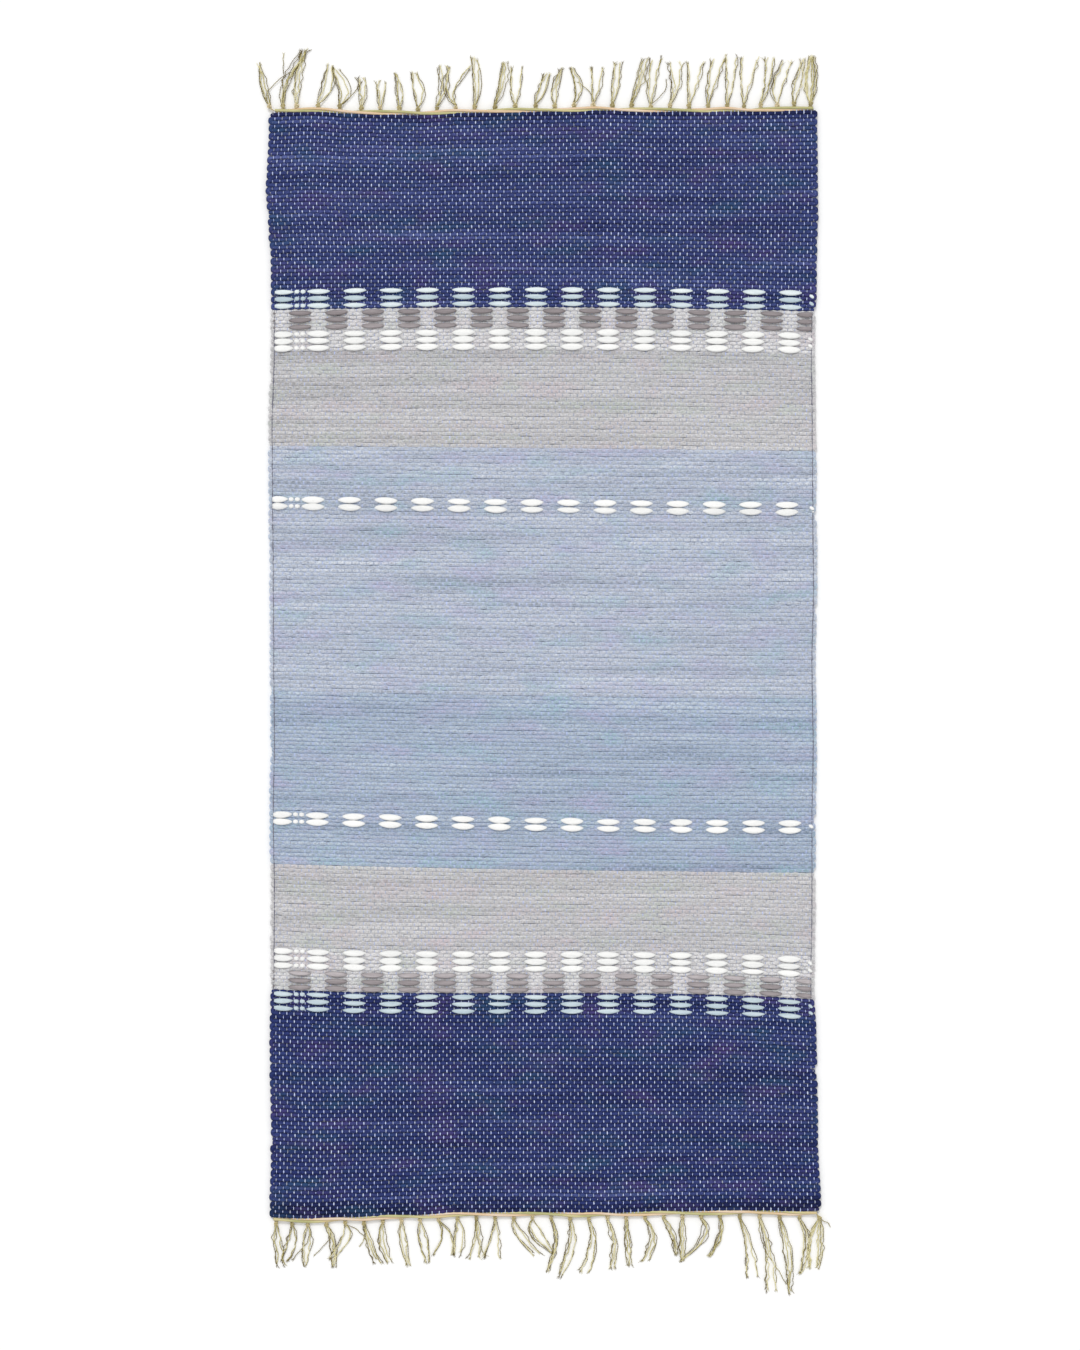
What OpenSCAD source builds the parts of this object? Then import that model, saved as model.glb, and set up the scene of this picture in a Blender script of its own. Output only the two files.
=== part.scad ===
// Hand-woven rag runner rug: rag weft strips over a cotton warp, with float
// rows, corded headings and a knotted fringe at both ends.
// +X runs across the rug, +Y along it and +Z up; "far" is the +Y end.
// The origin is on the floor, under the middle of the rug with its fringe.
// Every strip of weft is drawn as a back ply and a face ply that close on the
// flat sheet of warp threads; the float rows pass over and under the threads.

/* [Woven body] */
// Width across the two selvedges
body_w = 700; // [500:10:900]
// Thickness of the woven ground
rug_t = 6.6; // [5.6:0.2:9]
// Spacing of the picks in the plain bands
ground_pitch = 4.98; // [4.6:0.02:6]
// Spacing of the float rows, with two ground picks to each row
row_pitch = 9.1; // [8.6:0.1:11]
// Clear gap between two neighbouring picks
pick_gap = 0.5; // [0.3:0.1:0.9]

/* [Plain bands, in picks] */
// Dark navy band at the far end
far_navy_picks = 45; // [8:1:80]
// Grey band after the far float rows
far_grey_picks = 25; // [8:1:60]
// Light blue band up to the far pair of float rows
far_blue_picks = 13; // [4:1:40]
// Light blue part of the middle field
middle_light_picks = 47; // [8:1:90]
// Deeper blue part of the middle field
middle_deep_picks = 31; // [8:1:90]
// Deeper blue band after the near pair of float rows
near_blue_picks = 10; // [4:1:40]
// Grey band before the near float rows
near_grey_picks = 21; // [8:1:60]
// Dark navy band at the near end
near_navy_picks = 51; // [8:1:80]

/* [Warp] */
// Tassels along each end
tassel_count = 30; // [20:1:36]
// Warp threads tied into each tassel
ends_per_tassel = 5; // [5:1:5]
// Width of a flattened warp thread
warp_w = 1.1; // [0.8:0.1:1.4]
// Height of a flattened warp thread
warp_t = 1.1; // [0.8:0.1:1.4]

/* [Float rows] */
// Warp threads from the start of one float to the start of the next
float_period = 10; // [8:1:12]
// Warp threads that a float passes over
float_span = 6; // [4:2:6]
// Width of a float at its middle
float_w = 7; // [5:0.2:8]
// How far a float stands above the woven ground
float_rise = 1.5; // [1:0.1:2.4]
// Width of a pattern strip where it passes between two picks
core_w = 1.4; // [1:0.1:1.8]

/* [Headings and fringe] */
// Width of the corded heading at each end
heading_w = 4.4; // [3:0.2:6]
// Diameter of a knot
knot_d = 7; // [6:0.2:8]
// Length of a knot
knot_l = 6; // [5:0.2:8]
// Diameter of a fringe strand
strand_d = 1.8; // [1.4:0.1:2]
// Longest reach of the far fringe beyond its heading
far_reach = 78; // [50:1:120]
// Usual reach of the near fringe beyond its heading
near_reach = 72; // [50:1:120]
// Reach of the one long tassel near the right corner of the near end
corner_reach = 103; // [72:1:140]

/* [Hidden] */

// Colours of the yarns
navy = [0.25, 0.29, 0.44];
grey = [0.75, 0.74, 0.75];
light_blue = [0.70, 0.73, 0.80];
deep_blue = [0.65, 0.69, 0.77];
white = [0.97, 0.97, 0.95];
pale_blue = [0.80, 0.86, 0.90];
mauve = [0.58, 0.53, 0.55];
tan = [0.78, 0.70, 0.50];
cream = [0.90, 0.88, 0.80];

half_w = body_w / 2;
clearance = 0.1;
ply_t = (rug_t - warp_t - 2 * clearance) / 2;
face_z = rug_t - ply_t;
warp_z = ply_t + clearance;
pick_half = (ground_pitch - pick_gap) / 2;

// The two ground picks beside a pattern strip are narrower
core_gap = 0.2;
row_pick_half = (row_pitch - core_w - 2 * core_gap - pick_gap) / 4;
row_pick_offset = core_w / 2 + core_gap + row_pick_half;

// Selvedge turns, as half ellipses of this reach
turn_reach = 4.8;
turn_steps = 4;
bar_half = half_w - turn_reach;

ends = tassel_count * ends_per_tassel;
end_pitch = (body_w - 1) / ends;

// Float rows in a group, and in the pairs beside the middle field
group_rows = 3;
pair_rows = 2;
group_len = group_rows * row_pitch;
pair_len = pair_rows * row_pitch;

plain_picks = far_navy_picks + far_grey_picks + far_blue_picks + middle_light_picks
    + middle_deep_picks + near_blue_picks + near_grey_picks + near_navy_picks;
body_l = plain_picks * ground_pitch + 6 * group_len + 2 * pair_len;

// The near fringe reaches further, so the woven body sits a little to the far side
neck = 0.8;
body_y = (max(near_reach, corner_reach) - far_reach) / 2;

// Edges of the bands, from the far end to the near end
far_edge = body_y + body_l / 2;
far_pale_y = far_edge - far_navy_picks * ground_pitch;
far_mauve_y = far_pale_y - group_len;
far_white_y = far_mauve_y - group_len;
far_grey_y = far_white_y - group_len;
far_blue_y = far_grey_y - far_grey_picks * ground_pitch;
far_pair_y = far_blue_y - far_blue_picks * ground_pitch;
middle_light_y = far_pair_y - pair_len;
middle_deep_y = middle_light_y - middle_light_picks * ground_pitch;
near_edge = body_y - body_l / 2;
near_pale_y = near_edge + near_navy_picks * ground_pitch;
near_mauve_y = near_pale_y + group_len;
near_white_y = near_mauve_y + group_len;
near_grey_y = near_white_y + group_len;
near_blue_y = near_grey_y + near_grey_picks * ground_pitch;
near_pair_y = near_blue_y + near_blue_picks * ground_pitch;

// Warp gaps in the middle of the first float of each kind of row
aligned_gap = 13;
offset_gap = 8;
far_pair_gap = 12;
leg_half = 0.8;

// Picks of a plain run that starts at y and goes towards dir, as [centre, half width]
function plain_run(y, picks, dir) =
    [for (i = [0 : picks - 1]) [y + dir * (i + 0.5) * ground_pitch, pick_half]];

// Centres of the float rows, and the two ground picks beside each of them
function row_ys(y, rows, dir) =
    [for (i = [0 : rows - 1]) y + dir * (i + 0.5) * row_pitch];
function row_picks(y, rows, dir) =
    [for (row = row_ys(y, rows, dir))
        for (side = [-1, 1])
            [row + side * dir * row_pick_offset, row_pick_half]];

// Half ellipse round a selvedge, from pick a to pick b, on the given side
function outer_turn(a, b, side) =
    let (dir = sign(b[0] - a[0]),
         low = a[0] - dir * a[1],
         high = b[0] + dir * b[1])
    [for (k = [0 : turn_steps])
        let (angle = -90 + 180 * k / turn_steps)
        [side * (bar_half + turn_reach * cos(angle)),
         (low + high) / 2 + (high - low) / 2 * sin(angle)]];
function inner_turn(a, b, side) =
    let (dir = sign(b[0] - a[0]))
    [[side * bar_half, a[0] + dir * a[1]],
     [side * bar_half, b[0] - dir * b[1]]];

// One edge of the to-and-fro strip: outer turns on one side, inner on the other
function strip_edge(picks, outer_side) =
    [for (i = [0 : len(picks) - 2])
        let (side = i % 2 == 0 ? 1 : -1)
        each (side == outer_side ? outer_turn(picks[i], picks[i + 1], side)
                                 : inner_turn(picks[i], picks[i + 1], side))];
function reversed(points) = [for (i = [len(points) - 1 : -1 : 0]) points[i]];

// Outline of one continuous strip that goes to and fro through the picks
function strip_outline(picks) =
    let (dir = sign(picks[1][0] - picks[0][0]),
         first = picks[0],
         last = picks[len(picks) - 1],
         last_side = len(picks) % 2 == 1 ? 1 : -1)
    concat(
        [[-bar_half, first[0] - dir * first[1]]],
        strip_edge(picks, 1),
        [[last_side * bar_half, last[0] - last_side * dir * last[1]],
         [last_side * bar_half, last[0] + last_side * dir * last[1]]],
        reversed(strip_edge(picks, -1)),
        [[-bar_half, first[0] + dir * first[1]]]);

// A strip of ground weft, as its back ply and its face ply
module weft_strip(picks) {
    for (z = [0, face_z])
        translate([0, 0, z])
            linear_extrude(ply_t)
                polygon(strip_outline(picks));
}

function gap_x(gap) = (gap - ends / 2) * end_pitch;

// Side view of a pattern strip's core: up through one warp gap, along, and down
function core_top(left, right) =
    [[left - leg_half, ply_t],
     [left - leg_half, rug_t + float_rise / 2],
     [right + leg_half, rug_t + float_rise / 2],
     [right + leg_half, ply_t]];
function core_underside(left, right) =
    [[left + leg_half, 0],
     [left + leg_half, face_z],
     [right - leg_half, face_z],
     [right - leg_half, 0]];

// Plan of a float: widest over its middle third and narrow at its two ends
function float_plan(reach) =
    let (quarter = [[reach, core_w / 2], [reach / 2, float_w / 2]])
    concat([for (p = quarter) p],
           [for (p = reversed(quarter)) [-p[0], p[1]]],
           [for (p = quarter) [-p[0], -p[1]]],
           [for (p = reversed(quarter)) [p[0], -p[1]]]);

// One strip of pattern weft across the rug, first float round the given warp gap
module float_strip(y, first_gap) {
    reach = float_span / 2;
    gaps = [for (gap = [first_gap : float_period : ends - float_span]) gap];
    top = [for (gap = gaps) each core_top(gap_x(gap - reach), gap_x(gap + reach))];
    under = [for (gap = gaps) each core_underside(gap_x(gap - reach), gap_x(gap + reach))];
    outline = concat([[-bar_half, 0], [-bar_half, ply_t]], top,
                     [[bar_half, ply_t], [bar_half, 0]], reversed(under));
    translate([0, y + core_w / 2, 0])
        rotate([90, 0, 0])
            linear_extrude(core_w)
                polygon(outline);
    for (gap = gaps)
        translate([gap_x(gap), y, rug_t + clearance])
            linear_extrude(float_rise - clearance)
                polygon(float_plan(reach * end_pitch));
}

module float_rows(ys, first_gap) {
    for (y = ys)
        float_strip(y, first_gap);
}

// Across-the-rug place of a warp thread at its knot, and of a tassel
function tassel_x(i) = (i + 0.5 - tassel_count / 2) * ends_per_tassel * end_pitch;
knot_pitch = 1.2;
function thread_x(j) = (j + 0.5 - ends / 2) * end_pitch;
function gathered_x(j) =
    tassel_x(floor(j / ends_per_tassel))
    + (j % ends_per_tassel - (ends_per_tassel - 1) / 2) * knot_pitch;

// One warp thread, straight through the body and gathered to its two knots
module warp_thread(j) {
    x = thread_x(j);
    g = gathered_x(j);
    far_tip = far_edge + heading_w + neck;
    near_tip = near_edge - heading_w - neck;
    path = [[g, near_tip], [x, near_edge], [x, far_edge], [g, far_tip]];
    side = [for (p = path) [p[0] + warp_w / 2, p[1]]];
    other = [for (p = reversed(path)) [p[0] - warp_w / 2, p[1]]];
    translate([0, 0, warp_z])
        linear_extrude(warp_t)
            polygon(concat(side, other));
}

// Corded heading, as its lower and upper ply
module heading_cord(y) {
    chamfer = 0.9;
    reach = heading_w / 2 - clearance;
    lower = [[-reach, ply_t], [-reach, chamfer], [chamfer - reach, 0],
             [reach - chamfer, 0], [reach, chamfer], [reach, ply_t]];
    upper = [for (p = reversed(lower)) [p[0], rug_t - p[1]]];
    for (outline = [lower, upper])
        translate([-half_w + 1, y, 0])
            rotate([90, 0, 90])
                linear_extrude(body_w - 2)
                    polygon(outline);
}

// Tied knots, as short barrels that lie along the rug
module knots(y) {
    rim = 2.6;
    barrel = [[0, -knot_l / 2], [rim, -knot_l / 2], [knot_d / 2, -knot_l / 4],
              [knot_d / 2, knot_l / 4], [rim, knot_l / 2], [0, knot_l / 2]];
    for (i = [0 : tassel_count - 1])
        translate([tassel_x(i), y, knot_d / 2])
            rotate([90, 0, 0])
                rotate_extrude($fn = 48)
                    polygon(barrel);
}

// One tassel: three strands on the floor and two that lie on them
module tassel(reach) {
    fan = 4;
    low_pitch = 2;
    tilt_z = strand_d / 2;
    for (k = [-1 : 1])
        translate([k * low_pitch, 0, tilt_z])
            rotate([-90, 0, -k * fan])
                cylinder(d = strand_d, h = k == 0 ? reach : reach * 0.96, $fn = 24);
    for (k = [-1, 1])
        translate([k * low_pitch / 2, 0, tilt_z + strand_d + clearance])
            rotate([-90, 0, -k * fan / 2])
                cylinder(d = strand_d, h = reach * 0.9, $fn = 24);
}

// Uneven hand-cut lengths that swing below the longest one
function cut_reach(i, longest) = longest * (1 - 0.16 * abs(sin(47 * i)));

knot_span = neck + knot_l;
long_tassel = tassel_count - 3;
far_knot_y = far_edge + heading_w + neck + knot_l / 2;
near_knot_y = near_edge - heading_w - neck - knot_l / 2;

module far_tassels() {
    color(cream)
        for (i = [0 : tassel_count - 1])
            translate([tassel_x(i), far_knot_y + knot_l / 2, 0])
                tassel(cut_reach(i, far_reach - knot_span));
}

module near_tassels() {
    color(cream)
        for (i = [0 : tassel_count - 1])
            translate([tassel_x(i), near_knot_y - knot_l / 2, 0])
                mirror([0, 1, 0])
                    tassel(i == long_tassel ? max(near_reach, corner_reach) - knot_span
                                            : cut_reach(i, near_reach - knot_span));
}

module far_knots() {
    color(tan)
        knots(far_knot_y);
}

module near_knots() {
    color(tan)
        knots(near_knot_y);
}

module far_heading_cord() {
    color(tan)
        heading_cord(far_edge + heading_w / 2);
}

module near_heading_cord() {
    color(tan)
        heading_cord(near_edge - heading_w / 2);
}

module far_navy_weft() {
    color(navy)
        weft_strip(concat(plain_run(far_edge, far_navy_picks, -1),
                          row_picks(far_pale_y, group_rows, -1)));
}

module far_grey_weft() {
    color(grey)
        weft_strip(concat(row_picks(far_mauve_y, group_rows, -1),
                          row_picks(far_white_y, group_rows, -1),
                          plain_run(far_grey_y, far_grey_picks, -1)));
}

module far_light_blue_weft() {
    color(light_blue)
        weft_strip(concat(plain_run(far_blue_y, far_blue_picks, -1),
                          row_picks(far_pair_y, pair_rows, -1)));
}

module middle_light_blue_weft() {
    color(light_blue)
        weft_strip(plain_run(middle_light_y, middle_light_picks, -1));
}

module middle_deep_blue_weft() {
    color(deep_blue)
        weft_strip(plain_run(middle_deep_y, middle_deep_picks, -1));
}

module near_deep_blue_weft() {
    color(deep_blue)
        weft_strip(concat(plain_run(near_blue_y, near_blue_picks, 1),
                          row_picks(near_pair_y, pair_rows, 1)));
}

module near_grey_weft() {
    color(grey)
        weft_strip(concat(row_picks(near_mauve_y, group_rows, 1),
                          row_picks(near_white_y, group_rows, 1),
                          plain_run(near_grey_y, near_grey_picks, 1)));
}

module near_navy_weft() {
    color(navy)
        weft_strip(concat(plain_run(near_edge, near_navy_picks, 1),
                          row_picks(near_pale_y, group_rows, 1)));
}

module far_pale_blue_rows() {
    color(pale_blue)
        float_rows(row_ys(far_pale_y, group_rows, -1), aligned_gap);
}

module far_mauve_rows() {
    color(mauve)
        float_rows(row_ys(far_mauve_y, group_rows, -1), offset_gap);
}

module far_white_rows() {
    color(white)
        float_rows(row_ys(far_white_y, group_rows, -1), aligned_gap);
}

module far_white_pair() {
    color(white)
        float_rows(row_ys(far_pair_y, pair_rows, -1), far_pair_gap);
}

module near_white_pair() {
    color(white)
        float_rows(row_ys(near_pair_y, pair_rows, 1), aligned_gap);
}

module near_white_rows() {
    color(white)
        float_rows(row_ys(near_white_y, group_rows, 1), aligned_gap);
}

module near_mauve_rows() {
    color(mauve)
        float_rows(row_ys(near_mauve_y, group_rows, 1), offset_gap);
}

module near_pale_blue_rows() {
    color(pale_blue)
        float_rows(row_ys(near_pale_y, group_rows, 1), aligned_gap);
}

module warp_threads() {
    color(cream)
        for (j = [1 : ends - 2])
            warp_thread(j);
}

module selvedge_threads() {
    color(white)
        for (j = [0, ends - 1])
            warp_thread(j);
}

far_tassels();
far_knots();
far_heading_cord();
far_navy_weft();
far_pale_blue_rows();
far_mauve_rows();
far_white_rows();
far_grey_weft();
far_light_blue_weft();
far_white_pair();
middle_light_blue_weft();
middle_deep_blue_weft();
near_white_pair();
near_deep_blue_weft();
near_grey_weft();
near_white_rows();
near_mauve_rows();
near_pale_blue_rows();
near_navy_weft();
near_heading_cord();
near_knots();
near_tassels();
warp_threads();
selvedge_threads();
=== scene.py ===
"""Looks of the hand-woven rag runner rug.

Every pick of rag weft is its own plump tube that runs to and fro between the
selvedges, each warp thread goes over one pick and under the next, and the
pattern strips float over six threads and under four.  Lengths are in
millimetres until a mesh is made, in the frame of the CAD part.
"""

import math

import bpy
import numpy as np
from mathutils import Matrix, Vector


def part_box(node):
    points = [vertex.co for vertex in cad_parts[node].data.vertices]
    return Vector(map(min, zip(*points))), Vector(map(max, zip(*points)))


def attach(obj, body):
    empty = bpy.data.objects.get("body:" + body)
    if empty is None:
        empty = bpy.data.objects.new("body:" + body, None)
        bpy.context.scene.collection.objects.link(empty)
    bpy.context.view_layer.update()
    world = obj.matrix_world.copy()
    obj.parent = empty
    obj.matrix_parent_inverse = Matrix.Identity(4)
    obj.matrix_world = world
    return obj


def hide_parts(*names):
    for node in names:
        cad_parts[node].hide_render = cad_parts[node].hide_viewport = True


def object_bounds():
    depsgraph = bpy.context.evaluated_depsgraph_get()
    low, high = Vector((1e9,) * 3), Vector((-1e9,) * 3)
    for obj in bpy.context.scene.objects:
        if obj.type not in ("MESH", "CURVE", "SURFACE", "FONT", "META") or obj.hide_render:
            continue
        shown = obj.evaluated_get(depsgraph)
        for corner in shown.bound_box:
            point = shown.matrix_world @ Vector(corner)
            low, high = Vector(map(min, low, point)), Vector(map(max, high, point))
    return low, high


MM = 0.001

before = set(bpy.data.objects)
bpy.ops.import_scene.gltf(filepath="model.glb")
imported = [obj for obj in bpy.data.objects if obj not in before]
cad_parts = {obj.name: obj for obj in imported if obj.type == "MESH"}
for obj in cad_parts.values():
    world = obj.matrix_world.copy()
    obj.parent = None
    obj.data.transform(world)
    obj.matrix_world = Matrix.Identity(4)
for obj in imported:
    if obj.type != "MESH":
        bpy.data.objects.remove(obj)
cad_low, cad_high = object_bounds()
rng = np.random.default_rng(20)


def node_box(name):
    """Lowest and highest corner of a CAD node, in millimetres."""
    low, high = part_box(name)
    return np.array(low) / MM, np.array(high) / MM


# ---------------------------------------------------------------- dimensions

# Values of the CAD part, repeated here: the number of warp threads, the
# spacing of ground picks and of float rows, the gap between picks, the
# thickness of the ground and how far a strip turns past the last thread.
ENDS = 150
GROUND_PITCH = 4.98
ROW_PITCH = 9.1
PICK_GAP = 0.5
THICK = 6.6
MID_Z = THICK / 2
TURN_REACH = 4.8

HALF_W = (cad_high[0] - cad_low[0]) / 2 / MM
END_PITCH = (2 * HALF_W - 1) / ENDS
BAR_HALF = HALF_W - TURN_REACH
FAR_EDGE = node_box("far_navy_weft")[1][1] + PICK_GAP / 2
NEAR_EDGE = node_box("near_navy_weft")[0][1] - PICK_GAP / 2
FAR_KNOT_Y = sum(node_box("far_knots")[i][1] for i in (0, 1)) / 2
NEAR_KNOT_Y = sum(node_box("near_knots")[i][1] for i in (0, 1)) / 2
THREAD_X = (np.arange(ENDS) + 0.5 - ENDS / 2) * END_PITCH

# First gaps of the pattern strips that show two short bits at the left.
ALIGNED_GAPS = (12, 13)

# From the far end: ground strip, kind of run, picks or float rows, pattern
# strip, and the warp gap under the middle of its first float.
RUNS = [
    ("far_navy_weft", "plain", 45, None, 0),
    ("far_navy_weft", "rows", 3, "far_pale_blue_rows", 13),
    ("far_grey_weft", "rows", 3, "far_mauve_rows", 8),
    ("far_grey_weft", "rows", 3, "far_white_rows", 13),
    ("far_grey_weft", "plain", 25, None, 0),
    ("far_light_blue_weft", "plain", 13, None, 0),
    ("far_light_blue_weft", "rows", 2, "far_white_pair", 12),
    ("middle_light_blue_weft", "plain", 47, None, 0),
    ("middle_deep_blue_weft", "plain", 31, None, 0),
    ("near_deep_blue_weft", "rows", 2, "near_white_pair", 13),
    ("near_deep_blue_weft", "plain", 10, None, 0),
    ("near_grey_weft", "plain", 21, None, 0),
    ("near_grey_weft", "rows", 3, "near_white_rows", 13),
    ("near_grey_weft", "rows", 3, "near_mauve_rows", 8),
    ("near_navy_weft", "rows", 3, "near_pale_blue_rows", 13),
    ("near_navy_weft", "plain", 51, None, 0),
]


def lay_out(runs):
    """Places of the ground picks {strip: [(number, y, half width)]}, of the
    float rows {pattern strip: [(y, first gap)]}, and the first gap beside each
    pick among them, from the far edge down."""
    picks, rows, gaps = {}, {}, {}
    y, number = FAR_EDGE, 0
    for strip, kind, count, pattern, gap in runs:
        mine = picks.setdefault(strip, [])
        for _ in range(count):
            if kind == "plain":
                mine.append((number, y - GROUND_PITCH / 2, GROUND_PITCH / 2))
                number += 1
                y -= GROUND_PITCH
                continue
            for part in (0.25, 0.75):
                mine.append((number, y - part * ROW_PITCH, ROW_PITCH / 4))
                gaps[number] = gap
                number += 1
            rows.setdefault(pattern, []).append((y - ROW_PITCH / 2, gap))
            y -= ROW_PITCH
    return picks, rows, gaps


PICKS, ROWS, PICK_GAPS = lay_out(RUNS)
ALL_PICKS = sorted(p for strip in PICKS.values() for p in strip)


# ------------------------------------------------- how the rug lies (a warp)

# Stations along the rug, as shares of the way from its near to its far edge,
# with what a hand-beaten cloth does there: rows that slope, bow or curl away
# at one side, and selvedges that wander in and out.
DROOP_AT = np.array([0.0, 0.2, 0.35, 0.64, 0.82, 1.0])
SLOPE = np.array([3.0, 0.5, -6.0, -4.0, -0.8, 0.8])
BOW = np.array([0.0, -1.5, 2.5, 0.5, -4.5, 1.5])
CURL = np.array([0.0, -7.0, 0.0, 0.0, 0.0, 0.0])
WAVE_AT = np.array([-1, -0.84, -0.7, -0.45, -0.3, 0, 0.2, 0.45, 0.7, 1])
FAR_WAVE = np.array([-1.2, 1.2, -1.6, -3.0, -0.4, 1.2, 2.4, 0.2, 0.0, 0.8])
NEAR_WAVE = np.array([-2.5, -5.0, -3.0, -1.0, 1.5, 1.0, -0.6, 1.0, 1.0, -1.0])
EDGE_AT = np.linspace(0, 1, 15)
LEFT_OUT = np.array([0.5, -1.5, 0, -0.5, -1, 0.5, -1, 0, 0.5, 1.5, 2, -1, -1.5, 4.5, 1])
RIGHT_OUT = np.array([6, 2, 0.5, -2.5, -1, -1, 0.5, -1, 1, 0, -0.5, -2, 0.5, 2, 0.8])


# The waves of the end edges die out over this share of the length, the pull
# of a selvedge starts this far past the middle, and ripples lift the cloth.
# WAVE_SHARES is one over that first share.
WAVE_SHARES = 6
PULL_FROM = 0.25
RIPPLE = 0.45


def smooth(at, stations, values):
    """Values eased between stations, with no corners."""
    i = np.clip(np.searchsorted(stations, at) - 1, 0, len(stations) - 2)
    t = np.clip((at - stations[i]) / (stations[i + 1] - stations[i]), 0, 1)
    t = t * t * (3 - 2 * t)
    return values[i] * (1 - t) + values[i + 1] * t


def lay(points):
    """Moves points from the straight CAD frame to where the rug really lies."""
    p = np.array(points, float)
    x, y = p[:, 0] / HALF_W, p[:, 1]
    share = np.clip((y - NEAR_EDGE) / (FAR_EDGE - NEAR_EDGE), 0, 1)
    dy = (
        smooth(share, DROOP_AT, SLOPE) * x
        + smooth(share, DROOP_AT, BOW) * (x * x - 0.33)
        + smooth(share, DROOP_AT, CURL) * x**3
    )
    at_far = np.clip(share * WAVE_SHARES - (WAVE_SHARES - 1), 0, 1)
    at_near = np.clip(1 - share * WAVE_SHARES, 0, 1)
    edge = smooth(x, WAVE_AT, FAR_WAVE) * at_far
    edge += smooth(x, WAVE_AT, NEAR_WAVE) * at_near
    span = 1 + PULL_FROM
    left = smooth(share, EDGE_AT, LEFT_OUT) * np.clip(PULL_FROM - x, 0, span) / span
    right = smooth(share, EDGE_AT, RIGHT_OUT) * np.clip(PULL_FROM + x, 0, span) / span
    ripple = (
        np.sin(31 * share + 2.2 * x)
        + np.sin(13 * share - 3.1 * x + 1.3)
        + np.sin(57 * share + 0.7)
    )
    p[:, 0] += right - left
    p[:, 1] += dy + edge
    p[:, 2] += RIPPLE * (ripple + 3) / 2 * (0.35 + 0.65 * np.abs(x) ** 2)
    return p


# ------------------------------------------------------------- mesh building


class Yarns:
    """Collects tubes into one mesh, with a tone per strand and a shade_mask
    value (0 on a crest, 1 deep between picks and on the flanks).  Most
    materials darken there, a painted shade; the grey and blue rags lighten
    there, a painted light."""

    def __init__(self):
        self.points, self.quads, self.caps = [], [], []
        self.tone, self.shade_mask = [], []
        self.count = 0

    def tube(
        self, centres, side, up, wide, top, bottom, tone, shade_mask=0.0, sides=6, square=1.0
    ):
        """A closed tube: elliptical rings round the centres, at half widths
        wide, and half heights top and bottom.  shade_mask is one value or one
        for each ring of painted shade, added to the painted shade that every
        tube has on its two flanks.  square below 1 fills the corners of the
        section."""
        n = len(centres)
        angle = 2 * np.pi * np.arange(sides) / sides
        cos, sin = (
            np.sign(v) * np.abs(v) ** square for v in (np.cos(angle), np.sin(angle))
        )
        wide, top, bottom, shade_mask, tone = (
            np.broadcast_to(v, n) for v in (wide, top, bottom, shade_mask, tone)
        )
        high = np.where(sin[None] > 0, top[:, None], bottom[:, None]) * sin[None]
        ring = (
            centres[:, None]
            + side[:, None] * (wide[:, None] * cos[None])[..., None]
            + up[:, None] * high[..., None]
        )
        # Painted shade: darkest on the two flanks of the tube, plus shade_mask.
        flank_shade = np.clip(cos[None] ** 2 * 0.75 + shade_mask[:, None], 0, 1)
        index = self.count + np.arange(n * sides).reshape(n, sides)
        turned = np.roll(index, -1, axis=1)
        quads = np.stack([index[:-1], turned[:-1], turned[1:], index[1:]], axis=-1)
        self.points.append(ring.reshape(-1, 3))
        self.quads.append(quads.reshape(-1, 4))
        self.caps += [index[0][::-1], index[-1]]
        self.tone.append(np.repeat(tone, sides))
        self.shade_mask.append(flank_shade.ravel())
        self.count += n * sides

    def build(self, name, material, nodes):
        """The mesh object, laid in place, riding on the root body."""
        points = lay(np.concatenate(self.points)) * MM
        quads = np.concatenate(self.quads)
        caps = np.array([len(c) for c in self.caps])
        loops = np.concatenate([quads.ravel(), *self.caps])
        starts = np.concatenate(
            [
                np.arange(len(quads)) * 4,
                len(quads) * 4 + np.concatenate([[0], np.cumsum(caps)[:-1]]),
            ]
        )
        mesh = bpy.data.meshes.new(name)
        mesh.vertices.add(len(points))
        mesh.vertices.foreach_set("co", points.astype(np.float32).ravel())
        mesh.loops.add(len(loops))
        mesh.loops.foreach_set("vertex_index", loops.astype(np.int32))
        mesh.polygons.add(len(starts))
        mesh.polygons.foreach_set("loop_start", starts.astype(np.int32))
        mesh.update(calc_edges=True)
        mesh.shade_smooth()
        for attribute, values in (("tone", self.tone), ("shade_mask", self.shade_mask)):
            made = mesh.attributes.new(attribute, "FLOAT", "POINT")
            made.data.foreach_set("value", np.concatenate(values).astype(np.float32))
        mesh.materials.append(material)
        piece = bpy.data.objects.new(name, mesh)
        bpy.context.scene.collection.objects.link(piece)
        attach(piece, "root")
        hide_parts(*nodes)
        return piece


def unit(v):
    """Vectors scaled to length one."""
    return v / np.maximum(np.linalg.norm(v, axis=-1, keepdims=True), 1e-9)


def flat_frame(centres):
    """Side and up directions for a path that stays roughly level."""
    along = unit(np.gradient(centres, axis=0))
    side = unit(np.cross([0.0, 0.0, 1.0], along))
    return side, unit(np.cross(along, side))


def wander(n, knots, size):
    """A smooth random run of n values, eased between that many random knots."""
    stations = np.linspace(0, 1, knots)
    return smooth(np.linspace(0, 1, n), stations, rng.normal(0, size, knots))


# ----------------------------------------------------------------- materials


def rgb(r, g, b):
    """An sRGB colour out of 255 as the linear colour of a shader socket."""
    return tuple(
        c / 12.92 if c <= 0.04045 else ((c + 0.055) / 1.055) ** 2.4
        for c in (v / 255 for v in (r, g, b))
    ) + (1.0,)


RAG_SHEEN = 0.1
YARN_SHEEN = 0.2


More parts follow.
